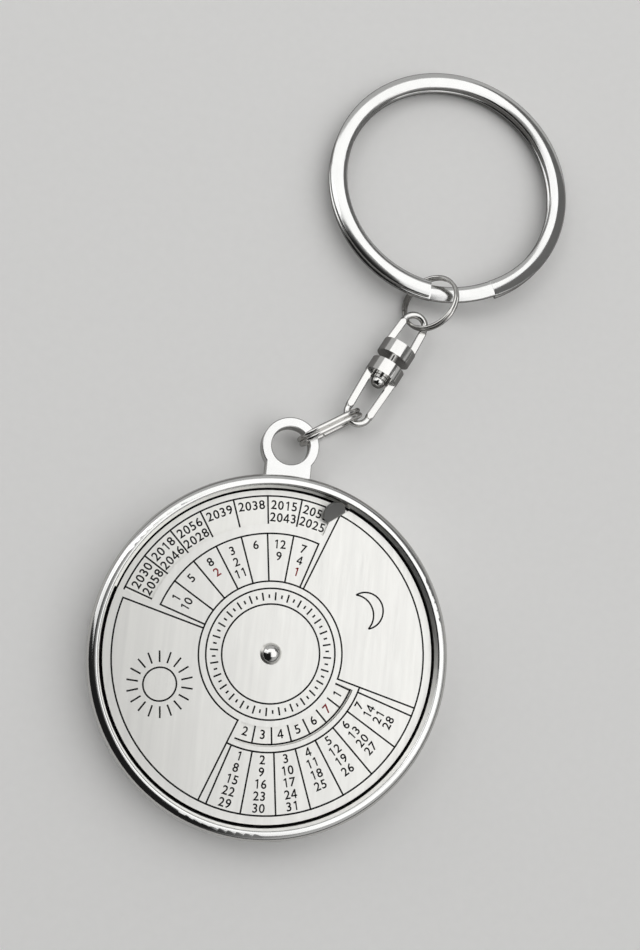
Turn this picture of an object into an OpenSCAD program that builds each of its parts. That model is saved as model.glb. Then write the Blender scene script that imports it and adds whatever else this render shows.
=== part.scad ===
// Perpetual calendar keyring: a round metal case with a turning dial under its rim,
// and a chain of an oval link, a swivel and a small ring that carries a split key ring.
// Millimetres. The case lies on its back on z = 0, +Z is up and +Y points to the lug.

/* [Case] */
// Outer diameter of the case
case_d = 40; // [30:0.5:60]
// Height from the rest plane to the crown of the rim
case_h = 5.4; // [4.6:0.1:9]
// Radial width of the rim
rim_w = 1.5; // [1.3:0.1:3]
// Radius of the rim's outer shoulder
rim_round = 0.95; // [0.6:0.05:1.2]
// Radius of the rim's inner crest
rim_crest = 0.2; // [0.1:0.05:0.3]
// Width of the flat on top of the rim
rim_flat = 0.1; // [0.05:0.05:0.2]
// Radius of the lower outer edge
foot_round = 0.8; // [0.3:0.1:1.5]
// Drop from the crown of the rim to the dial's face
dial_drop = 1.3; // [0.8:0.1:2]
// Diameter of the shallow recess in the back
recess_d = 33; // [20:0.5:36]
// Depth of the shallow recess in the back
recess_depth = 0.4; // [0.2:0.05:0.8]

/* [Lug] */
// Distance from the case centre to the hole of the lug
lug_y = 23.55; // [22.5:0.05:30]
// Diameter of the hole
lug_hole_d = 4.4; // [3.6:0.1:5.4]
// Outer diameter of the eye
eye_d = 6.6; // [5.8:0.1:9]
// Thickness of the lug
lug_t = 2.2; // [1.4:0.1:2.8]
// Width of the neck between rim and eye
neck_w = 5.2; // [3:0.1:6]
// Bevel of the lug's edges
lug_bevel = 0.1; // [0.05:0.05:0.3]

/* [Dial and year disc] */
// Gap between the dial's edge and the rim
dial_gap = 0.2; // [0.15:0.05:0.6]
// Thickness of the dial
dial_t = 0.5; // [0.3:0.05:0.8]
// Thickness of the year disc
year_t = 0.5; // [0.3:0.05:0.8]
// Gap between the year disc and the dial
disc_gap = 0.1; // [0.05:0.01:0.2]
// Turn of the dial at rest, anticlockwise from the lug
dial_rest = 26.7; // [-180:0.1:180]
// Inner radius of the year notch in the dial's edge
notch_r = 14.4; // [13:0.1:16]
// Half angle of the year notch
notch_half = 45.4; // [30:0.1:60]
// Inner radius of the weekday window
window_in = 7.95; // [6:0.05:8.5]
// Outer radius of the weekday window
window_out = 10.05; // [9:0.05:12]
// Half angle of the weekday window
window_half = 45; // [30:0.5:60]
// Width of the finger tab along its fold
tab_w = 2.2; // [1.5:0.1:3.2]
// Length of the finger tab up from its fold
tab_l = 2.1; // [1:0.1:2.4]
// Thickness of the finger tab
tab_t = 0.35; // [0.2:0.05:0.5]
// Rise of the finger tab from the dial
tab_rise = 42; // [30:1:80]

/* [Centre rivet] */
// Diameter of the domed head
rivet_head_d = 2.4; // [2:0.1:4]
// Height of the domed head
rivet_head_h = 0.85; // [0.4:0.05:1.1]
// Diameter of the shoulder that the dial turns on
rivet_shoulder_d = 1.6; // [1.4:0.05:1.8]
// Diameter of the shank in the case
rivet_shank_d = 1.2; // [0.8:0.05:1.3]
// Diameter of the spread tail
rivet_tail_d = 2.4; // [1.8:0.1:4]
// Height of the spread tail
rivet_tail_h = 0.6; // [0.3:0.05:1]
// Radial clearance round the spread tail
tail_fit = 0.1; // [0.05:0.01:0.2]
// Radial running clearance of turning parts
run_fit = 0.05; // [0.02:0.01:0.1]
// Radial clearance of fixed parts
set_fit = 0.01; // [0.01:0.005:0.04]

/* [Oval link] */
// Wire diameter of the link
link_wire = 0.55; // [0.4:0.05:0.65]
// Outer length of the link
link_len = 8.2; // [7.6:0.1:10]
// Outer height of the link
link_h = 5.2; // [4.8:0.1:6]
// Direction of the link at rest, anticlockwise from +X
link_dir = 33; // [15:1:60]
// Play between the link and the eye
link_play = 0.1; // [0.05:0.01:0.3]

/* [Swivel] */
// Wire diameter of a yoke's rounded end
yoke_wire = 0.8; // [0.6:0.05:0.9]
// Radius of the rounded end of a yoke, to the middle of the wire
yoke_r = 1.35; // [1.25:0.05:1.5]
// Sideways distance of an arm from the axis at the collar
arm_side = 1.6; // [1.5:0.05:1.6]
// Width of the flattened arms
arm_w = 0.9; // [0.85:0.05:0.95]
// Height of the flattened arms
arm_h = 0.85; // [0.75:0.05:0.95]
// Diameter of the collars
collar_d = 4.2; // [4.15:0.05:5]
// Length of a collar
collar_l = 1.7; // [1.2:0.1:2]
// Length of the lower yoke
lower_len = 8.6; // [8:0.1:10]
// Length of the upper yoke
upper_len = 6.7; // [6:0.1:9]
// Gap between the two collars
collar_gap = 1.0; // [0.4:0.05:1.4]
// Direction of the swivel at rest, anticlockwise from +X
swivel_dir = 63; // [45:1:80]
// Diameter of the swivel pin
pin_d = 1.0; // [0.7:0.05:1.2]
// Diameter of the pin's head
pin_head_d = 1.7; // [1.3:0.05:1.9]
// Height of the pin's head
pin_head_h = 1.0; // [0.5:0.05:1.2]
// Diameter of the washer under the pin's head
pin_washer_d = 1.9; // [1.5:0.05:2.1]
// Thickness of the washer under the pin's head
pin_washer_t = 0.35; // [0.2:0.05:0.5]

/* [Small ring] */
// Outer diameter of the small ring
ring_od = 7.4; // [7.2:0.1:8.4]
// Wire diameter of the small ring
ring_wire = 0.44; // [0.35:0.01:0.48]
// Direction from the swivel to the key ring
ring_dir = 72; // [60:1:85]
// Tilt of the small ring, right side up
ring_tilt = 46; // [42:1:52]
// Gap between the two turns of a wound ring
turn_gap = 0.03; // [0.02:0.01:0.05]

/* [Key ring] */
// Outer diameter of the key ring
key_od = 30; // [25:0.5:38]
// Radial width of the flat wire
key_w = 2.1; // [1.5:0.1:2.2]
// Thickness of the flat wire
key_t = 0.95; // [0.75:0.05:1]
// Radius of the flat wire's round edges
key_edge = 0.3; // [0.22:0.01:0.33]
// Gap between the two turns
key_gap = 0.05; // [0.03:0.01:0.1]
// Direction of the key ring at rest, anticlockwise from +X
key_dir = 86; // [70:1:100]
// Angle of the stretch where the wire steps from turn to turn
step_angle = 31; // [26:1:40]
// Middle of that stretch, anticlockwise from the side nearest the swivel
step_at = 14; // [10:1:18]

/* [Hidden] */
$fn = 64;

// How far cutting shapes reach past a face
cut = 1;
// Lift of loose pieces off the rest plane
rest_gap = 0.05;
steel = [0.80, 0.80, 0.78];
chrome = [0.86, 0.87, 0.88];

// Levels of the case from the rest plane upward
case_r = case_d / 2;
well_r = case_r - rim_w;
dial_r = well_r - dial_gap;
dial_top = case_h - dial_drop;
dial_z = dial_top - dial_t;
year_z = dial_z - disc_gap - year_t;

// The eye of the lug, level with the middle of the link
link_z = link_h / 2 + rest_gap;
hole_r = lug_hole_d / 2;
eye_r = eye_d / 2;
eye_wall = eye_r - hole_r;

// The link stands upright round the wall of the eye
link_in = link_h / 2 - link_wire;
link_mid = (link_h - link_wire) / 2;
link_straight = link_len - link_h;
link_near = hole_r + sqrt(pow(link_in - link_play, 2) - lug_t * lug_t / 4);
link_far = link_near + link_straight;

// The swivel lies on its collars, with the link's far end in the lower yoke
yoke_slack = 0.2;
swivel_lift = 0.15;
swivel_z = collar_d / 2 + swivel_lift;
swivel_axis = [cos(swivel_dir), sin(swivel_dir), 0];
yoke_end = yoke_r + yoke_wire / 2;
reach = link_far + sqrt(link_mid * link_mid - pow(swivel_z - link_z, 2));
lower_at = [reach * cos(link_dir), lug_y + reach * sin(link_dir), swivel_z] + yoke_slack * swivel_axis;
lower_face = lower_len - yoke_end;
upper_face = lower_face + collar_gap;
upper_span = upper_len - yoke_end;
upper_at = lower_at + (upper_face + upper_span) * swivel_axis;

// The small ring leans through the upper yoke
ring_mid = (ring_od - ring_wire) / 2;
ring_pitch = ring_wire + turn_gap;
ring_axis = [cos(ring_dir), sin(ring_dir), 0];
ring_side = [sin(ring_dir), -cos(ring_dir), 0];
ring_z = ring_mid * sin(ring_tilt) + ring_pitch / 2 * cos(ring_tilt) + ring_wire / 2 + rest_gap;
ring_cross = (swivel_z - ring_z) / sin(ring_tilt);
ring_slack = 0.1;
ring_at = upper_at - ring_slack * swivel_axis - ring_cross * cos(ring_tilt) * ring_side
          + sqrt(ring_mid * ring_mid - ring_cross * ring_cross) * ring_axis
          + [0, 0, ring_z - swivel_z];

// The key ring's near side hangs in the small ring and its far side lies on the rest plane
key_hang = 1.6;
key_sink = 0.3;
key_mid = (key_od - key_w) / 2;
key_pitch = key_t + key_gap;
key_near_z = ring_z - key_sink;
key_far_z = key_t + key_gap / 2 + 2 * rest_gap;
key_tilt = asin((key_near_z - key_far_z) / (2 * key_mid));
key_near = [ring_at[0], ring_at[1], key_near_z] + key_hang * ring_axis;
key_at = key_near + key_mid * [cos(key_tilt) * cos(key_dir), cos(key_tilt) * sin(key_dir), -sin(key_tilt)];

// Wound wires: the slit at a wire's end, and the bridge where the wire crosses between its turns
end_slit = 0.2;
bridge_share = 0.9;

// A rectangle with bevelled corners, centred
module bevel_rect(w, h, bevel) {
    x = w / 2;
    y = h / 2;
    polygon([[x, y - bevel], [x - bevel, y], [bevel - x, y], [-x, y - bevel],
             [-x, bevel - y], [bevel - x, -y], [x - bevel, -y], [x, bevel - y]]);
}

// A flat wedge about +Y, open to both sides by a half angle below 90 degrees
module wedge(half, r) {
    polygon([[0, 0], [r * tan(half), r], [-r * tan(half), r]]);
}

// Half section of the case: rounded block, less the well for the discs and the back recess
module case_section() {
    shoulder_r = case_r - rim_round;
    crest_r = shoulder_r - rim_flat;
    difference() {
        union() {
            square([shoulder_r, case_h]);
            translate([0, foot_round])
                square([case_r, case_h - rim_round - foot_round]);
            translate([shoulder_r, case_h - rim_round])
                circle(rim_round);
            square([case_r - foot_round, foot_round]);
            translate([case_r - foot_round, foot_round])
                circle(foot_round);
        }
        polygon([[0, year_z], [well_r, year_z], [well_r, dial_top],
                 [crest_r - rim_crest, case_h - rim_crest], [crest_r, case_h - rim_crest],
                 [crest_r, case_h + cut], [0, case_h + cut]]);
        square([recess_d / 2, recess_depth]);
    }
    translate([crest_r, case_h - rim_crest])
        circle(rim_crest);
}

// Section of the eye's wall, with its hole on the axis
module eye_section() {
    translate([hole_r + eye_wall / 2, 0])
        bevel_rect(eye_wall, lug_t, lug_bevel);
}

// The neck runs from inside the rim to the hole, level with the eye
module lug_neck() {
    translate([0, lug_y, link_z])
        rotate([90, 0, 0])
            linear_extrude(lug_y - well_r - rim_w / 2)
                bevel_rect(neck_w, lug_t, lug_bevel);
}

module case() {
    color(chrome) {
        difference() {
            union() {
                rotate_extrude()
                    case_section();
                lug_neck();
            }
            translate([0, lug_y, 0])
                cylinder(r = hole_r + eye_wall / 2, h = case_h);
            translate([0, 0, -cut])
                cylinder(d = rivet_shank_d + 2 * set_fit, h = case_h);
            translate([0, 0, -cut])
                cylinder(d = rivet_tail_d + 2 * tail_fit, h = cut + recess_depth + rivet_tail_h);
        }
        translate([0, lug_y, link_z])
            rotate_extrude()
                eye_section();
    }
}

module year_disc() {
    color(steel)
        translate([0, 0, year_z])
            linear_extrude(year_t)
                difference() {
                    circle(dial_r);
                    circle(d = rivet_shank_d + 2 * set_fit);
                }
}

// The finger tab folds up along a slanting line across the corner of the notch
tab_past = 2;
tab_inset = 0.3;
tab_skew = 57;
tab_turn = notch_half + tab_past;
tab_r = dial_r - tab_w / 2 - tab_inset;

module at_fold(z) {
    rotate([0, 0, -tab_turn])
        translate([0, tab_r, z])
            rotate([0, 0, tab_skew])
                children();
}

module dial_outline() {
    difference() {
        circle(dial_r);
        circle(d = rivet_shoulder_d + 2 * run_fit);
        difference() {
            wedge(notch_half, dial_r + cut);
            circle(notch_r);
        }
        rotate(180)
            difference() {
                intersection() {
                    wedge(window_half, dial_r);
                    circle(window_out);
                }
                circle(window_in);
            }
        at_fold(0)
            translate([-tab_w / 2, 0])
                square([2 * tab_w, tab_w]);
    }
}

// The tab is a flat tongue with a round end, bent up along the fold
module finger_tab() {
    lobe = (tab_w * tab_w / 4 + tab_l * tab_l) / (2 * tab_l);
    at_fold(dial_t)
        rotate([tab_rise, 0, 0])
            translate([0, 0, -tab_t])
                linear_extrude(tab_t)
                    intersection() {
                        translate([0, tab_l - lobe])
                            circle(lobe);
                        translate([-tab_w, -tab_t])
                            square([2 * tab_w, 2 * tab_l]);
                    }
}

module dial() {
    color(steel)
        translate([0, 0, dial_z])
            rotate([0, 0, dial_rest]) {
                linear_extrude(dial_t)
                    dial_outline();
                finger_tab();
            }
}

module centre_rivet() {
    head_z = dial_top + run_fit;
    dome_r = (rivet_head_d * rivet_head_d / 4 + rivet_head_h * rivet_head_h) / (2 * rivet_head_h);
    shoulder_z = year_z + year_t;
    color(chrome) {
        translate([0, 0, head_z + rivet_head_h - dome_r])
            rotate_extrude()
                intersection() {
                    circle(dome_r);
                    translate([0, dome_r - rivet_head_h])
                        square([dome_r, dome_r]);
                }
        translate([0, 0, shoulder_z])
            cylinder(d = rivet_shoulder_d, h = head_z - shoulder_z);
        translate([0, 0, recess_depth + rivet_tail_h])
            cylinder(d = rivet_shank_d, h = shoulder_z - recess_depth - rivet_tail_h);
        translate([0, 0, recess_depth])
            cylinder(d1 = rivet_shank_d, d2 = rivet_tail_d, h = rivet_tail_h);
    }
}

// One turn of the oval link in the XZ plane
module oval_turn() {
    for (side = [-1, 1]) {
        translate([side * link_straight / 2, 0, 0])
            rotate([90, 0, 0])
                rotate([0, 0, side * 90 + 180])
                    rotate_extrude(angle = 180)
                        translate([link_mid, 0])
                            circle(d = link_wire);
        translate([-link_straight / 2, 0, side * link_mid])
            rotate([0, 90, 0])
                cylinder(d = link_wire, h = link_straight);
    }
}

// Two turns side by side; the wire crosses between them at the foot, where both ends stop
module lug_link() {
    pitch = link_wire + turn_gap;
    color(chrome)
        translate([0, lug_y, link_z])
            rotate([0, 0, link_dir])
                translate([link_near + link_straight / 2, 0, 0]) {
                    difference() {
                        for (side = [-1, 1])
                            translate([0, side * pitch / 2, 0])
                                oval_turn();
                        for (side = [-1, 1])
                            translate([side * link_wire - end_slit / 2, side > 0 ? 0 : -pitch, -link_h])
                                cube([end_slit, pitch, link_h]);
                    }
                    translate([0, pitch / 2, -link_mid])
                        rotate([90, 0, 0])
                            cylinder(d = link_wire * bridge_share, h = pitch);
                }
}

// A yoke along +X: rounded end about the origin, two arms that flatten past a taper, and a bored collar
module yoke(span, bore) {
    arm_bevel = 0.1;
    taper = 0.7;
    arm_x = span - collar_l / 2;
    spread = atan2(arm_side - yoke_r, arm_x);
    arm_l = arm_x / cos(spread);
    difference() {
        union() {
            rotate([0, 0, 90 + spread])
                rotate_extrude(angle = 180 - 2 * spread)
                    translate([yoke_r, 0])
                        circle(d = yoke_wire);
            for (side = [-1, 1])
                rotate([0, 0, side * spread])
                    translate([0, side * yoke_r, 0])
                        rotate([0, 90, 0])
                            intersection() {
                                linear_extrude(arm_l)
                                    bevel_rect(arm_h, arm_w, arm_bevel);
                                cylinder(d1 = yoke_wire, d2 = yoke_wire + taper * arm_l, h = arm_l);
                            }
            translate([span - collar_l, 0, 0])
                rotate([0, 90, 0])
                    cylinder(d = collar_d, h = collar_l);
        }
        translate([span - collar_l - cut, 0, 0])
            rotate([0, 90, 0])
                cylinder(d = bore, h = collar_l + 2 * cut);
    }
}

// Places a child along the swivel axis from the rounded end of the lower yoke
module on_swivel() {
    translate(lower_at)
        rotate([0, 0, swivel_dir])
            children();
}

module lower_yoke() {
    color(chrome)
        on_swivel()
            yoke(lower_face, pin_d + 2 * run_fit);
}

module upper_yoke() {
    color(chrome)
        translate(upper_at)
            rotate([0, 0, swivel_dir + 180])
                yoke(upper_span, pin_d + 2 * set_fit);
}

// The pin is fixed in the upper collar and headed inside the lower yoke
module swivel_pin() {
    washer_x = lower_face - collar_l - run_fit - pin_washer_t;
    head_x = washer_x - run_fit;
    dome_r = (pin_head_d * pin_head_d / 4 + pin_head_h * pin_head_h) / (2 * pin_head_h);
    color(chrome)
        on_swivel() {
            translate([head_x, 0, 0])
                rotate([0, 90, 0])
                    cylinder(d = pin_d, h = upper_face + collar_l - head_x);
            translate([head_x - pin_head_h + dome_r, 0, 0])
                rotate([0, -90, 0])
                    rotate_extrude()
                        intersection() {
                            circle(dome_r);
                            translate([0, dome_r - pin_head_h])
                                square([dome_r, dome_r]);
                        }
        }
}

module swivel_washer() {
    color(chrome)
        on_swivel()
            translate([lower_face - collar_l - run_fit - pin_washer_t, 0, 0])
                rotate([0, 90, 0])
                    difference() {
                        cylinder(d = pin_washer_d, h = pin_washer_t);
                        translate([0, 0, -cut])
                            cylinder(d = pin_d + 2 * run_fit, h = pin_washer_t + 2 * cut);
                    }
}

// Two turns of wire, joined where the wire crosses from one turn to the other
module small_ring() {
    cross_at = 200;
    end_turn = 8;
    color(chrome)
        translate(ring_at)
            rotate([0, 0, ring_dir - 90])
                rotate([0, -ring_tilt, 0]) {
                    difference() {
                        for (side = [-1, 1])
                            translate([0, 0, side * ring_pitch / 2])
                                rotate_extrude()
                                    translate([ring_mid, 0])
                                        circle(d = ring_wire);
                        for (side = [-1, 1])
                            rotate([0, 0, cross_at + side * end_turn])
                                translate([0, -end_slit / 2, side > 0 ? 0 : -ring_od])
                                    cube([ring_od, end_slit, ring_od]);
                    }
                    rotate([0, 0, cross_at])
                        translate([ring_mid, 0, -ring_pitch / 2])
                            cylinder(d = ring_wire * bridge_share, h = ring_pitch);
                }
}

// Section of the flat wire, slimmer by an inset: crowned above and below, with round edges
module flat_wire_section(inset) {
    half_t = key_t / 2 - inset;
    edge_r = key_edge - inset;
    edge_at = key_w / 2 - key_edge;
    crown_r = (edge_at * edge_at + half_t * half_t - edge_r * edge_r) / (2 * (half_t - edge_r));
    crown_half = edge_at * crown_r / (crown_r - edge_r);
    intersection() {
        square(2 * [crown_half, half_t], center = true);
        translate([0, half_t - crown_r])
            circle(crown_r);
        translate([0, crown_r - half_t])
            circle(crown_r);
    }
    for (side = [-1, 1])
        translate([side * edge_at, 0])
            circle(edge_r);
}

// A flat wire round the ring's axis over an angle, its middle at a height
module flat_turn(from, angle, z, inset = 0) {
    rotate([0, 0, from])
        rotate_extrude(angle = angle)
            translate([key_mid, z])
                flat_wire_section(inset);
}

// Two flat turns; over the step only one wire is left, a little slimmer, sloping from turn to turn
module key_ring() {
    near_side = 270;
    end_gap = 1.5;
    overlap = 0.5;
    step_inset = 0.05;
    step_mid = near_side + step_at;
    step_hi = step_mid + step_angle / 2;
    slope = asin(key_pitch / 2 / (key_mid * sin(step_angle / 2)));
    color(chrome)
        translate(key_at)
            rotate([0, 0, key_dir - 90])
                rotate([-key_tilt, 0, 0]) {
                    flat_turn(step_hi, 360 - step_angle - end_gap, key_pitch / 2);
                    flat_turn(step_hi + end_gap, 360 - step_angle - end_gap, -key_pitch / 2);
                    rotate([0, 0, step_mid])
                        rotate([slope, 0, 0])
                            flat_turn(-step_angle / 2 - overlap, step_angle + 2 * overlap, 0, step_inset);
                }
}

case();
year_disc();
dial();
centre_rivet();
lug_link();
lower_yoke();
upper_yoke();
swivel_pin();
swivel_washer();
small_ring();
key_ring();
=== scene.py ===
import datetime
from math import atan2, cos, degrees, pi, radians, sin

import bpy
from mathutils import Matrix, Vector


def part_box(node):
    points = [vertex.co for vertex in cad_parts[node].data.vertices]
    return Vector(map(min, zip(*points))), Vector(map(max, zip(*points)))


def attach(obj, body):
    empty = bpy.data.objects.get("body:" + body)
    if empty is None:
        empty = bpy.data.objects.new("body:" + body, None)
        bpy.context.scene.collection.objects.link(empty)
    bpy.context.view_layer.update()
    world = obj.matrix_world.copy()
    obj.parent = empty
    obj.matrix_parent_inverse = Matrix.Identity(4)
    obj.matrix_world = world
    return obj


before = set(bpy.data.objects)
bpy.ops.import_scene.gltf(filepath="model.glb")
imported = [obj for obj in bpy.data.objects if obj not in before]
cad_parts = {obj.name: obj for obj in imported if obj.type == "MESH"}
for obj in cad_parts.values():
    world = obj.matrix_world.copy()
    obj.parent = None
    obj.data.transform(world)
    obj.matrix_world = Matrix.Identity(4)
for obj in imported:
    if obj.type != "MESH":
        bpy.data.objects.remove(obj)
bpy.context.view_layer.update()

MM = 0.001

# Levels and radii of the discs, the well and the rim, from the solids
DIAL_THICK = 0.5 * MM
WELL_GAP = 0.2 * MM
YEAR_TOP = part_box("year_disc")[1].z
DIAL_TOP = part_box("dial")[0].z + DIAL_THICK
WELL_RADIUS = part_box("year_disc")[1].x + WELL_GAP
WELL_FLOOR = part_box("year_disc")[0].z
RIM_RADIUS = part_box("case")[1].x
KEY_RING_MIDDLE = (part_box("key_ring")[0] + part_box("key_ring")[1]) / 2

# Angles run clockwise from the lug, in degrees, on the 28 columns of the calendar's cycle
CYCLE = 28
WEEK = 7
MIDDLE_COLUMN = WEEK // 2
COLUMN = 360 / CYCLE
DIAL_AXIS = -26.7
DATES_AXIS = DIAL_AXIS + 180
YEAR_AXIS = DIAL_AXIS + 0.8
TABLE_HALF = WEEK / 2 * COLUMN
PANEL_GAP = 3.1

# Radii of the printed lines, and their width
EDGE_LINE = 17.36 * MM
YEAR_LINE = 17.63 * MM
YEAR_FOOT = 14.45 * MM
MONTHS_LINE = 13.33 * MM
DATES_LINE = 10.66 * MM
DAY_LINE = 9.87 * MM
PANEL_FOOT = 7.99 * MM
BAND_OUT = 7.19 * MM
BAND_IN = 5.45 * MM
LINE = 0.185 * MM
INK_THICK = 0.03 * MM

# Heights of the numbers, and the radii and spacing of their rows
NUMBER_HEIGHT = 0.98 * MM
YEAR_HEIGHT = 1.03 * MM
DAY_HEIGHT = 1.0 * MM
DATE_ROW = 11.45 * MM
DATE_ROW_STEP = 1.28 * MM
MONTH_ROW = 12.15 * MM
MONTH_ROW_STEP = 1.33 * MM
YEAR_ROWS = (16.6 * MM, 15.2 * MM)
DAY_ROW = 8.8 * MM

# Width over which one finish gives way to the next on a piece
FINISH_EDGE = 0.05 * MM


# Strokes: flat pieces of print, joined later


def polar(radius, angle):
    """A point at a radius and a clockwise angle from the lug."""
    return Vector((radius * sin(radians(angle)), radius * cos(radians(angle)), 0))


def clockwise(direction):
    """The clockwise angle of a direction from the lug."""
    return degrees(atan2(direction.x, direction.y))


def deselect():
    bpy.ops.object.select_all(action="DESELECT")


def pick(obj, wanted):
    """Enters edit mode with the vertices at the wanted places selected."""
    bpy.ops.object.mode_set(mode="EDIT")
    bpy.ops.mesh.select_mode(type="VERT")
    bpy.ops.mesh.select_all(action="DESELECT")
    bpy.ops.object.mode_set(mode="OBJECT")
    for vertex in obj.data.vertices:
        vertex.select = wanted(vertex.co)
    bpy.ops.object.mode_set(mode="EDIT")
    bpy.ops.mesh.select_mode(type="VERT")


def place(obj, at, angle=0.0, scale=(1, 1, 1)):
    """Sets an object down, turned clockwise, and puts its place into its mesh."""
    obj.location = at
    obj.rotation_euler = (0, 0, -radians(angle))
    obj.scale = scale
    deselect()
    obj.select_set(True)
    bpy.context.view_layer.objects.active = obj
    bpy.ops.object.transform_apply(location=True, rotation=True, scale=True)
    return obj


def straight(start, stop, width):
    """A straight stroke between two points."""
    run = stop - start
    deselect()
    bpy.ops.mesh.primitive_plane_add(size=1)
    return place(bpy.context.object, (start + stop) / 2, clockwise(run), (width, run.length, 1))


def bar(radius_in, radius_out, angle, centre=Vector((0, 0, 0))):
    """A straight stroke along a radius."""
    return straight(centre + polar(radius_in, angle), centre + polar(radius_out, angle), LINE)


def rule(radius_in, radius_out, angle):
    """A table line, as long as the outer edges of the arcs that it meets."""
    return bar(radius_in - LINE / 2, radius_out + LINE / 2, angle)


def arc(radius, start, stop, centre=Vector((0, 0, 0)), step=3.0):
    """A stroke along a circle, spun clockwise from one short edge."""
    deselect()
    bpy.ops.mesh.primitive_plane_add(size=1)
    stroke = bpy.context.object
    pick(stroke, lambda co: co.x > 0)
    bpy.ops.mesh.delete(type="VERT")
    bpy.ops.mesh.select_all(action="SELECT")
    bpy.ops.transform.translate(value=(0.5, 0, 0))
    bpy.ops.object.mode_set(mode="OBJECT")
    place(stroke, polar(radius, start), start, (1, LINE, 1))
    bpy.ops.object.mode_set(mode="EDIT")
    bpy.ops.mesh.select_all(action="SELECT")
    steps = round((stop - start) / step)
    bpy.ops.mesh.spin(steps=steps, angle=radians(stop - start), axis=(0, 0, 1), center=(0, 0, 0))
    bpy.ops.mesh.select_all(action="SELECT")
    bpy.ops.mesh.remove_doubles(threshold=LINE / 100)
    bpy.ops.object.mode_set(mode="OBJECT")
    return place(stroke, centre)


def joined(strokes):
    """Joins strokes into one object."""
    deselect()
    for stroke in strokes:
        stroke.select_set(True)
    bpy.context.view_layer.objects.active = strokes[0]
    bpy.ops.object.join()
    return bpy.context.object


def arc_between(tip_a, tip_b, belly):
    """A clockwise stroke from tip to tip that stands off their chord by a belly."""
    chord = tip_b - tip_a
    radius = (chord.length_squared / 4 + belly * belly) / (2 * belly)
    outward = Vector((-chord.y, chord.x, 0)).normalized()
    centre = (tip_a + tip_b) / 2 + outward * (belly - radius)
    start = clockwise(tip_a - centre)
    sweep = (clockwise(tip_b - centre) - start) % 360
    return arc(radius, start, start + sweep, centre, step=6)


# Digits: each is shaped once, one unit high, and copied for every number


def font_digit(character):
    """A digit of the plain built-in font, made a mesh and centred."""
    cap_height = 0.724
    cap_middle = 0.041
    bold = 0.015
    deselect()
    bpy.ops.object.text_add()
    text = bpy.context.object
    text.data.body = character
    text.data.align_x = "CENTER"
    text.data.align_y = "CENTER"
    text.data.resolution_u = 3
    text.data.offset = bold
    bpy.ops.object.convert(target="MESH")
    size = 1 / cap_height
    return place(bpy.context.object, Vector((0, -cap_middle * size, 0)), 0, (size, size, 1))


def stroke_digit(*ends):
    """A digit of straight strokes, given by their ends."""
    width = 0.15
    return joined([straight(Vector((*first, 0)), Vector((*last, 0)), width) for first, last in ends])


digits = {character: font_digit(character) for character in "02356789"}
digits["1"] = stroke_digit(((0.06, -0.5), (0.06, 0.5)), ((0.06, 0.45), (-0.18, 0.29)))
digits["4"] = stroke_digit(
    ((0.13, -0.5), (0.13, 0.5)),
    ((-0.34, -0.22), (0.33, -0.22)),
    ((-0.3, -0.22), (0.12, 0.45)),
)
DIGIT_PITCH = 0.76


def number(value, height, at, angle):
    """The digits of a number side by side, their middle at a point and their top turned clockwise."""
    characters = str(value)
    along = polar(DIGIT_PITCH * height, angle + 90)
    strokes = []
    for index, character in enumerate(characters):
        digit = digits[character].copy()
        digit.data = digit.data.copy()
        bpy.context.scene.collection.objects.link(digit)
        offset = along * (index - (len(characters) - 1) / 2)
        strokes.append(place(digit, at + offset, angle, (height, height, 1)))
    return strokes


def printed(strokes, name, level, ink, body):
    """Joins strokes into one print, gives the ink its thickness and lays it on a face."""
    print_piece = joined(strokes)
    print_piece.name = name
    print_piece.data.name = name
    place(print_piece, Vector((0, 0, level)))
    thicken = print_piece.modifiers.new("ink", "SOLIDIFY")
    thicken.thickness = INK_THICK
    thicken.offset = 0
    bpy.ops.object.modifier_apply(modifier=thicken.name)
    bpy.ops.object.mode_set(mode="EDIT")
    bpy.ops.mesh.select_all(action="SELECT")
    bpy.ops.mesh.normals_make_consistent(inside=False)
    bpy.ops.object.mode_set(mode="OBJECT")
    print_piece.data.materials.clear()
    print_piece.data.materials.append(ink)
    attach(print_piece, body)


# Shader helpers


def node(tree, kind, **settings):
    made = tree.nodes.new(kind)
    for key, value in settings.items():
        setattr(made, key, value)
    return made


def new_group(name, outputs):
    """An empty node group with float outputs, and its end node."""
    group = bpy.data.node_groups.new(name, "ShaderNodeTree")
    for label in outputs:
        group.interface.new_socket(label, in_out="OUTPUT", socket_type="NodeSocketFloat")
    return group, node(group, "NodeGroupOutput")


def new_material(name):
    material = bpy.data.materials.new(name)
    material.use_nodes = True
    tree = material.node_tree
    return material, tree, tree.nodes["Principled BSDF"]


def group_node(tree, group):
    return node(tree, "ShaderNodeGroup", node_tree=group)


def object_coords(tree, offset=(0, 0, 0), turn=0.0, scale=(1, 1, 1)):
    """Object coordinates, moved, turned about Z and scaled."""
    coords = node(tree, "ShaderNodeTexCoord")
    mapping = node(tree, "ShaderNodeMapping")
    mapping.inputs["Location"].default_value = offset
    mapping.inputs["Rotation"].default_value = (0, 0, radians(turn))
    mapping.inputs["Scale"].default_value = scale
    tree.links.new(coords.outputs["Object"], mapping.inputs["Vector"])
    return mapping.outputs["Vector"]


def noise(tree, vector, scale=1.0, detail=3.0, rough=0.55):
    made = node(tree, "ShaderNodeTexNoise")
    made.inputs["Scale"].default_value = scale
    made.inputs["Detail"].default_value = detail
    made.inputs["Roughness"].default_value = rough
    tree.links.new(vector, made.inputs["Vector"])
    return made.outputs["Fac"]


def spread(tree, value, low, high, to_low, to_high):
    """Maps a value's range onto another, held at its ends."""
    made = node(tree, "ShaderNodeMapRange")
    made.inputs["From Min"].default_value = low
    made.inputs["From Max"].default_value = high
    made.inputs["To Min"].default_value = to_low
    made.inputs["To Max"].default_value = to_high
    tree.links.new(value, made.inputs["Value"])
    return made.outputs["Result"]


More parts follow.
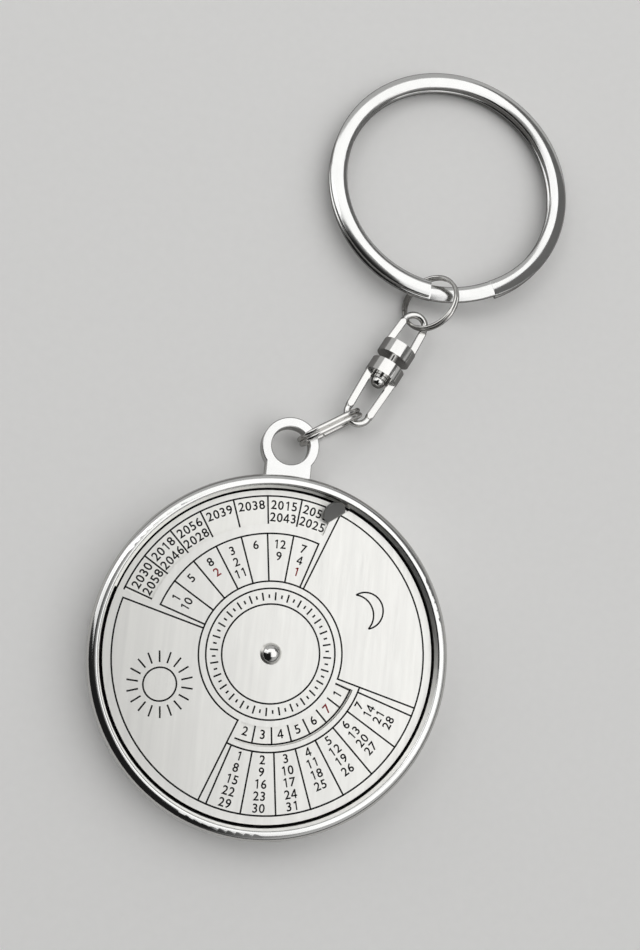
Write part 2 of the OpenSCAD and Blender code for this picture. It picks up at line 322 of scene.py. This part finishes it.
def maths(tree, operation, first, second=None):
    made = node(tree, "ShaderNodeMath", operation=operation)
    tree.links.new(first, made.inputs[0])
    if second is not None:
        tree.links.new(second, made.inputs[1])
    return made.outputs["Value"]


def separated(tree, vector):
    """The X, Y and Z outputs of a vector."""
    split = node(tree, "ShaderNodeSeparateXYZ")
    tree.links.new(vector, split.inputs["Vector"])
    return split.outputs


def off_axis(tree, parts):
    """The distance from the Z axis, from separated coordinates."""
    squares = [maths(tree, "MULTIPLY", parts[axis], parts[axis]) for axis in "XY"]
    return maths(tree, "SQRT", maths(tree, "ADD", *squares))


def mixed(tree, factor, first, second):
    """A colour between two, each a plain colour or another node's colour."""
    made = node(tree, "ShaderNodeMix", data_type="RGBA")
    tree.links.new(factor, made.inputs["Factor"])
    sockets = [socket for socket in made.inputs if socket.type == "RGBA"]
    for socket, colour in zip(sockets, (first, second)):
        if isinstance(colour, tuple):
            socket.default_value = (*colour, 1)
        else:
            tree.links.new(colour, socket)
    return next(socket for socket in made.outputs if socket.type == "RGBA")


def bump(tree, height, strength, distance):
    made = node(tree, "ShaderNodeBump")
    made.inputs["Strength"].default_value = strength
    made.inputs["Distance"].default_value = distance
    tree.links.new(height, made.inputs["Height"])
    return made.outputs["Normal"]


# Effects shared by the finishes


def straight_grain(name, turn):
    """Straight brushing: fine hairlines with a few broader streaks."""
    group, end = new_group(name, ["Hairline", "Streak"])
    fine_scale = (9000, 260, 260)
    broad_scale = (1400, 50, 50)
    hair = noise(group, object_coords(group, turn=turn, scale=fine_scale), detail=4.0, rough=0.65)
    broad = noise(group, object_coords(group, turn=turn, scale=broad_scale), detail=2.0)
    group.links.new(hair, end.inputs["Hairline"])
    group.links.new(broad, end.inputs["Streak"])
    return group


def wound_grain(name, middle):
    """Drawn wire: hairlines that run round a middle."""
    group, end = new_group(name, ["Hairline"])
    across_scale = 7000
    around_scale = 5
    past_half_turn = 4
    parts = separated(group, object_coords(group, offset=-middle))
    around = maths(group, "ARCTAN2", parts["Y"], parts["X"])
    along = 2 * past_half_turn * around_scale
    wrapped = node(group, "ShaderNodeCombineXYZ")
    group.links.new(spread(group, off_axis(group, parts), 0, 1, 0, across_scale), wrapped.inputs["X"])
    group.links.new(spread(group, around, -past_half_turn, past_half_turn, 0, along), wrapped.inputs["Y"])
    group.links.new(spread(group, parts["Z"], -1, 1, -across_scale, across_scale), wrapped.inputs["Z"])
    group.links.new(noise(group, wrapped.outputs["Vector"], detail=3.0), end.inputs["Hairline"])
    return group


def handling_marks():
    """Marks of use on bright metal: soft smears and sparse hair scratches."""
    group, end = new_group("handling_marks", ["Smear", "Scratch"])
    smear = noise(group, object_coords(group), scale=160, detail=4.0, rough=0.6)
    group.links.new(spread(group, smear, 0.35, 0.75, 0, 1), end.inputs["Smear"])
    scratches = []
    for turn, fineness in ((31, 5200), (-47, 4600)):
        stretched = object_coords(group, turn=turn, scale=(180, fineness, 180))
        scratches.append(noise(group, stretched, detail=2.0))
    crossing = maths(group, "MAXIMUM", *scratches)
    group.links.new(spread(group, crossing, 0.68, 0.76, 0, 1), end.inputs["Scratch"])
    return group


# Finishes


def brushed_steel(name, grain, light, dark):
    material, tree, shader = new_material(name)
    marks = group_node(tree, grain)
    colour = mixed(tree, spread(tree, marks.outputs["Streak"], 0.3, 0.7, 0, 1), dark, light)
    tree.links.new(colour, shader.inputs["Base Color"])
    rough = spread(tree, marks.outputs["Hairline"], 0.3, 0.7, 0.30, 0.44)
    tree.links.new(rough, shader.inputs["Roughness"])
    tree.links.new(bump(tree, marks.outputs["Hairline"], 0.2, 0.003 * MM), shader.inputs["Normal"])
    shader.inputs["Metallic"].default_value = 1.0
    return material


def dial_steel():
    """Brushed steel, with a painted dark reflection on the bent-up tab."""
    material = brushed_steel("dial_steel", dial_grain, (0.89, 0.885, 0.855), (0.83, 0.825, 0.80))
    tree = material.node_tree
    shader = tree.nodes["Principled BSDF"]
    # Painted reflection: the tab's base colour is darkened to stand for the dark surroundings that it
    # reflects.
    tab_painted_dark_reflection = (0.42, 0.42, 0.415)
    height = separated(tree, object_coords(tree))["Z"]
    tab = spread(tree, height, DIAL_TOP + FINISH_EDGE, DIAL_TOP + 2 * FINISH_EDGE, 0, 1)
    brushed = shader.inputs["Base Color"].links[0].from_socket
    tree.links.new(mixed(tree, tab, brushed, tab_painted_dark_reflection), shader.inputs["Base Color"])
    return material


def bright_plating(name, tint, worn, rough_low, rough_high):
    """Polished plating with smears and scratches from use."""
    material, tree, shader = new_material(name)
    marks = group_node(tree, handling)
    tree.links.new(mixed(tree, marks.outputs["Smear"], tint, worn), shader.inputs["Base Color"])
    rough = spread(tree, marks.outputs["Smear"], 0, 1, rough_low, rough_high)
    tree.links.new(rough, shader.inputs["Roughness"])
    tree.links.new(bump(tree, marks.outputs["Scratch"], 0.15, -0.0015 * MM), shader.inputs["Normal"])
    shader.inputs["Metallic"].default_value = 1.0
    return material


def case_plating():
    """Bright plating, satin on the lug, with painted shade, near-black and rough, in the well round the
    discs.
    """
    material = bright_plating("case_metal", (0.86, 0.86, 0.85), (0.80, 0.80, 0.79), 0.08, 0.16)
    tree = material.node_tree
    shader = tree.nodes["Principled BSDF"]
    well_painted_shade = (0.012, 0.012, 0.012)
    well_rough = 0.7
    lug_rough = 0.24
    edge = FINISH_EDGE
    parts = separated(tree, object_coords(tree))
    radius = off_axis(tree, parts)
    # Painted shade: the well's wall and floor below the dial's top are coloured near-black where shade
    # falls in the gap round the discs.
    inside = spread(tree, radius, WELL_RADIUS + edge, WELL_RADIUS + 2 * edge, 1, 0)
    above = spread(tree, parts["Z"], WELL_FLOOR - 2 * edge, WELL_FLOOR - edge, 0, 1)
    below = spread(tree, parts["Z"], DIAL_TOP - 2 * edge, DIAL_TOP, 1, 0)
    well = maths(tree, "MULTIPLY", inside, maths(tree, "MULTIPLY", above, below))
    plated = shader.inputs["Base Color"].links[0].from_socket
    tree.links.new(mixed(tree, well, plated, well_painted_shade), shader.inputs["Base Color"])
    polish = shader.inputs["Roughness"].links[0].from_socket
    dull = spread(tree, well, 0, 1, 0, well_rough)
    satin = spread(tree, radius, RIM_RADIUS + edge, RIM_RADIUS + 2 * edge, 0, lug_rough)
    rough = maths(tree, "MAXIMUM", polish, maths(tree, "MAXIMUM", dull, satin))
    tree.links.new(rough, shader.inputs["Roughness"])
    return material


def drawn_wire(name, grain, tint, worn):
    """Bright plating over wire that keeps the hairlines of its drawing."""
    material = bright_plating(name, tint, worn, 0.08, 0.18)
    tree = material.node_tree
    shader = tree.nodes["Principled BSDF"]
    lines = group_node(tree, grain).outputs["Hairline"]
    polish = shader.inputs["Roughness"].links[0].from_socket
    rough = maths(tree, "MAXIMUM", polish, spread(tree, lines, 0.5, 0.8, 0.06, 0.24))
    tree.links.new(rough, shader.inputs["Roughness"])
    tree.links.new(bump(tree, lines, 0.12, 0.004 * MM), shader.inputs["Normal"])
    return material


def printing_ink(name, full, thin):
    """Matt ink that lies a little thinner in places."""
    material, tree, shader = new_material(name)
    wear = noise(tree, object_coords(tree), scale=2400, rough=0.6)
    colour = mixed(tree, spread(tree, wear, 0.45, 0.8, 0, 1), full, thin)
    tree.links.new(colour, shader.inputs["Base Color"])
    tree.links.new(spread(tree, wear, 0.3, 0.7, 0.45, 0.65), shader.inputs["Roughness"])
    shader.inputs["Specular IOR Level"].default_value = 0.1
    return material


handling = handling_marks()
dial_grain = straight_grain("dial_grain", DIAL_AXIS)
year_grain = straight_grain("year_grain", 0)
ring_grain = wound_grain("ring_grain", KEY_RING_MIDDLE)

black_ink = printing_ink("black_ink", (0.012, 0.012, 0.013), (0.03, 0.03, 0.03))
red_ink = printing_ink("red_ink", (0.30, 0.018, 0.025), (0.40, 0.05, 0.05))
case_metal = case_plating()
wire_metal = bright_plating("wire_metal", (0.82, 0.81, 0.79), (0.74, 0.73, 0.71), 0.08, 0.20)
swivel_metal = bright_plating("swivel_metal", (0.82, 0.815, 0.80), (0.74, 0.735, 0.715), 0.10, 0.20)
finishes = {
    "case": case_metal,
    "year_disc": brushed_steel("year_steel", year_grain, (0.90, 0.895, 0.86), (0.85, 0.845, 0.815)),
    "dial": dial_steel(),
    "centre_rivet": bright_plating("rivet_metal", (0.84, 0.835, 0.82), (0.76, 0.755, 0.74), 0.06, 0.16),
    "lug_link": wire_metal,
    "lower_yoke": swivel_metal,
    "upper_yoke": swivel_metal,
    "swivel_pin": swivel_metal,
    "swivel_washer": swivel_metal,
    "small_ring": wire_metal,
    "key_ring": drawn_wire("key_ring_metal", ring_grain, (0.83, 0.83, 0.82), (0.76, 0.76, 0.75)),
}
for name, finish in finishes.items():
    for material_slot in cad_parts[name].material_slots:
        material_slot.material = finish


# Print of the dial: two picture panels, the tables of dates and months, and a ticked band


def table_columns(radius_in, radius_out, axis):
    edges = [axis - TABLE_HALF + COLUMN * column for column in range(WEEK + 1)]
    return [rule(radius_in, radius_out, edge) for edge in edges]


def dial_lines():
    """The outlines of the panels and tables, which share one outer arc and one inner arc."""
    panel_half = 90 - TABLE_HALF - PANEL_GAP
    moon_axis = DIAL_AXIS + 90
    sun_axis = DIAL_AXIS + 270
    strokes = [
        arc(EDGE_LINE, moon_axis - panel_half, sun_axis + panel_half),
        arc(PANEL_FOOT, sun_axis - panel_half, moon_axis + panel_half + 360),
        arc(MONTHS_LINE, DIAL_AXIS - TABLE_HALF, DIAL_AXIS + TABLE_HALF),
        arc(DATES_LINE, moon_axis + panel_half, sun_axis - panel_half),
        arc(BAND_OUT, 0, 360),
        arc(BAND_IN, 0, 360),
    ]
    for axis in (moon_axis, sun_axis):
        for side in (-1, 1):
            strokes.append(rule(PANEL_FOOT, EDGE_LINE, axis + side * panel_half))
    strokes += table_columns(PANEL_FOOT, MONTHS_LINE, DIAL_AXIS)
    strokes += table_columns(DATES_LINE, EDGE_LINE, DATES_AXIS)
    return strokes


def band_ticks():
    """Plain ticks in the band round the centre, a long one for each column."""
    short = 0.2 * MM
    long = 0.45 * MM
    middle = (BAND_OUT + BAND_IN) / 2
    strokes = []
    for tick in range(2 * CYCLE):
        reach = short if tick % 2 else long
        strokes.append(bar(middle - reach, middle + reach, DIAL_AXIS + tick * COLUMN / 2))
    return strokes


def date_numbers():
    """The dates run outward down each column, seven columns side by side."""
    strokes = []
    longest_month = 31
    for date in range(1, longest_month + 1):
        row, column = divmod(date - 1, WEEK)
        angle = DATES_AXIS + (MIDDLE_COLUMN - column) * COLUMN
        radius = DATE_ROW + DATE_ROW_STEP * row
        strokes += number(date, NUMBER_HEIGHT, polar(radius, angle), angle + 180)
    return strokes


# Months by number in each column, from its outer row inward
MONTH_COLUMNS = ((1, 10), (5,), (8,), (3, 2, 11), (6,), (12, 9), (7, 4))
LEAP_MONTHS = {2: 2, 6: 1}


def month_number(month, column, row):
    angle = DIAL_AXIS + (column - MIDDLE_COLUMN) * COLUMN
    radius = MONTH_ROW - MONTH_ROW_STEP * row
    return number(month, NUMBER_HEIGHT, polar(radius, angle), angle)


def month_numbers():
    strokes = []
    for column, months in enumerate(MONTH_COLUMNS):
        for row, month in enumerate(months):
            strokes += month_number(month, column, row)
    return strokes


def leap_month_numbers():
    """The months that leap years use instead stand in red below the others."""
    strokes = []
    for column, month in LEAP_MONTHS.items():
        strokes += month_number(month, column, len(MONTH_COLUMNS[column]))
    return strokes


def sun_outline():
    middle = polar(12.53 * MM, -110.2)
    radius = 1.8 * MM
    ray_start = 2.35 * MM
    ray_end = 3.6 * MM
    rays = 18
    strokes = [arc(radius, 0, 360, middle, step=8)]
    for ray in range(rays):
        strokes.append(bar(ray_start, ray_end, DIAL_AXIS + ray * 360 / rays, middle))
    return strokes


def moon_outline():
    upper_tip = Vector((8.99, 7.38, 0)) * MM
    lower_tip = Vector((10.73, 3.72, 0)) * MM
    outer_belly = 2.44 * MM
    inner_belly = 1.24 * MM
    return [arc_between(upper_tip, lower_tip, belly) for belly in (outer_belly, inner_belly)]


printed(dial_lines(), "dial_lines", DIAL_TOP, black_ink, "dial")
printed(band_ticks(), "band_ticks", DIAL_TOP, black_ink, "dial")
printed(date_numbers(), "date_numbers", DIAL_TOP, black_ink, "dial")
printed(month_numbers(), "month_numbers", DIAL_TOP, black_ink, "dial")
printed(leap_month_numbers(), "leap_month_numbers", DIAL_TOP, red_ink, "dial")
printed(sun_outline(), "sun_outline", DIAL_TOP, black_ink, "dial")
printed(moon_outline(), "moon_outline", DIAL_TOP, black_ink, "dial")


# Print of the disc below: years all round for the notch, weekdays all round for the window

FIRST_YEAR = 2015
LAST_YEAR = 2064
SHOWN_YEARS = (2030, 2018, 2028, 2039, 2038, 2015, 2025)
LATER_YEAR_OUTSIDE = (2028, 2025)


def march_weekday(year):
    return datetime.date(year, 3, 1).weekday()


def years_in_order():
    """The first year of each column, clockwise; every seventh column begins March on the same weekday."""
    order = list(SHOWN_YEARS)
    left = [year for year in range(FIRST_YEAR, FIRST_YEAR + CYCLE) if year not in SHOWN_YEARS]
    while left:
        wanted = march_weekday(order[len(order) % WEEK])
        following = next(year for year in left if march_weekday(year) == wanted)
        order.append(following)
        left.remove(following)
    return order


def year_numbers():
    strokes = []
    for column, year in enumerate(years_in_order()):
        angle = YEAR_AXIS + (column - MIDDLE_COLUMN) * COLUMN
        pair = [value for value in (year, year + CYCLE) if value <= LAST_YEAR]
        if year in LATER_YEAR_OUTSIDE:
            pair.reverse()
        for value, radius in zip(pair, YEAR_ROWS):
            strokes += number(value, YEAR_HEIGHT, polar(radius, angle), angle)
    return strokes


def disc_lines():
    strokes = [arc(YEAR_LINE, 0, 360), arc(DAY_LINE, 0, 360)]
    for column in range(CYCLE):
        edge = YEAR_AXIS + (column - 0.5) * COLUMN
        strokes.append(rule(YEAR_FOOT, YEAR_LINE, edge))
        strokes.append(rule(PANEL_FOOT, DAY_LINE, edge))
    return strokes


# Weekdays by number, from Tuesday in the window's first column; the seventh day is red
SUNDAY = 7
FIRST_DAY = 2


def weekday_numbers(sundays):
    strokes = []
    for column in range(CYCLE):
        day = (FIRST_DAY + column - 1) % WEEK + 1
        angle = YEAR_AXIS + 180 + (MIDDLE_COLUMN - column) * COLUMN
        if (day == SUNDAY) == sundays:
            strokes += number(day, DAY_HEIGHT, polar(DAY_ROW, angle), angle + 180)
    return strokes


printed(disc_lines(), "disc_lines", YEAR_TOP, black_ink, "case")
printed(year_numbers(), "year_numbers", YEAR_TOP, black_ink, "case")
printed(weekday_numbers(False), "weekday_numbers", YEAR_TOP, black_ink, "case")
printed(weekday_numbers(True), "sunday_numbers", YEAR_TOP, red_ink, "case")
for shape in digits.values():
    bpy.data.objects.remove(shape)


# Floor, light and camera


def paper_floor():
    """A pale floor that reflections see darker, most of all past the case, to set off bright metal."""
    width = 3
    gap = 0.02 * MM
    case_end = 0.02
    chain_start = 0.03
    under_case = (0.60, 0.59, 0.575)
    under_chain = (0.22, 0.215, 0.21)
    deselect()
    bpy.ops.mesh.primitive_plane_add(size=width)
    ground = bpy.context.object
    ground.name = "floor"
    place(ground, Vector((0, 0, -gap)))
    material, tree, shader = new_material("floor_paper")
    tooth = noise(tree, object_coords(tree), scale=900, rough=0.6)
    paper = mixed(tree, tooth, (0.90, 0.895, 0.885), (0.94, 0.935, 0.925))
    path = node(tree, "ShaderNodeLightPath")
    along = separated(tree, object_coords(tree))["Y"]
    reflected = mixed(tree, spread(tree, along, case_end, chain_start, 0, 1), under_case, under_chain)
    seen = mixed(tree, path.outputs["Is Glossy Ray"], paper, reflected)
    tree.links.new(seen, shader.inputs["Base Color"])
    shader.inputs["Roughness"].default_value = 0.85
    ground.data.materials.append(material)


def softbox(name, at, aim, size, radiance):
    """A soft panel of light of a given brightness, facing a point."""
    deselect()
    bpy.ops.object.light_add(type="AREA", location=at)
    light = bpy.context.object
    light.name = name
    light.data.shape = "RECTANGLE"
    light.data.size, light.data.size_y = size
    light.data.energy = radiance * pi * size[0] * size[1]
    light.rotation_euler = (Vector(aim) - Vector(at)).to_track_quat("-Z", "Y").to_euler()


def grey_flag():
    """A grey card over the right of the key ring, which only reflections see."""
    low = Vector((0.043, 0.03, 0.05))
    high = Vector((0.25, 0.15, 0.05))
    dark = (0.17, 0.17, 0.17)
    light = (0.23, 0.23, 0.23)
    deselect()
    bpy.ops.mesh.primitive_plane_add(size=1)
    card = bpy.context.object
    card.name = "grey_flag"
    place(card, (low + high) / 2, 0, (high.x - low.x, high.y - low.y, 1))
    material, tree, shader = new_material("flag_felt")
    fibre = noise(tree, object_coords(tree), scale=400)
    tree.links.new(mixed(tree, fibre, dark, light), shader.inputs["Base Color"])
    shader.inputs["Roughness"].default_value = 0.9
    card.data.materials.append(material)
    card.visible_camera = False
    card.visible_diffuse = False
    card.visible_shadow = False


def studio_room():
    """Grey walls, dark in one corner and low behind the viewer; the camera itself sees a pale backdrop."""
    dark_corner = (-0.64, -0.51, 0.57)
    black_wall = (0.012, 0.012, 0.012)
    grey_wall = (0.45, 0.45, 0.445)
    backdrop_foot = (0.42, 0.42, 0.415)
    backdrop_top = (0.8, 0.8, 0.79)
    world = bpy.data.worlds.new("studio")
    bpy.context.scene.world = world
    world.use_nodes = True
    tree = world.node_tree
    coords = node(tree, "ShaderNodeTexCoord")
    toward = node(tree, "ShaderNodeVectorMath", operation="DOT_PRODUCT")
    toward.inputs[1].default_value = dark_corner
    tree.links.new(coords.outputs["Generated"], toward.inputs[0])
    outside_corner = spread(tree, toward.outputs["Value"], 0.5, 0.76, 1, 0)
    parts = separated(tree, coords.outputs["Generated"])
    high = spread(tree, parts["Z"], 0.12, 0.3, 0, 1)
    ahead = spread(tree, parts["Y"], -0.3, 0.3, 0, 1)
    lit = maths(tree, "MULTIPLY", outside_corner, maths(tree, "MAXIMUM", high, ahead))
    walls = mixed(tree, lit, black_wall, grey_wall)
    path = node(tree, "ShaderNodeLightPath")
    backdrop = mixed(tree, spread(tree, parts["Z"], 0, 0.3, 0, 1), backdrop_foot, backdrop_top)
    seen = mixed(tree, path.outputs["Is Camera Ray"], walls, backdrop)
    background = tree.nodes["Background"]
    tree.links.new(seen, background.inputs["Color"])
    background.inputs["Strength"].default_value = 1.0


def photo_camera():
    """The camera of the photograph, from its place, its axes and its focal length in pixels."""
    at = Vector((-16.26, 1.06, 126.28)) * MM
    right = Vector((0.9804, 0.0923, 0.1740)).normalized()
    forward = Vector((0.15845, 0.15516, -0.9751)).normalized()
    focal_px = 1100
    frame_height_px = 950
    data = bpy.data.cameras.new("photo_camera")
    camera = bpy.data.objects.new("photo_camera", data)
    bpy.context.scene.collection.objects.link(camera)
    data.sensor_width = 36
    data.lens = data.sensor_width * focal_px / frame_height_px
    data.clip_start = 0.005
    turn = Matrix((right, right.cross(forward), -forward)).transposed().to_4x4()
    camera.matrix_world = Matrix.Translation(at) @ turn
    bpy.context.scene.camera = camera


paper_floor()
grey_flag()
studio_room()
softbox("overhead_panel", at=(0.39, 0.15, 0.55), aim=(0.39, 0.15, 0), size=(0.8, 1.0), radiance=0.77)
softbox("upper_left_panel", at=(-0.235, 0.41, 0.55), aim=(-0.235, 0.41, 0), size=(0.45, 0.5), radiance=0.74)
softbox("left_panel", at=(-0.5, 0.2, 0.38), aim=(0, 0.02, 0), size=(0.35, 0.6), radiance=0.9)
photo_camera()
bpy.context.scene.view_settings.view_transform = "Standard"
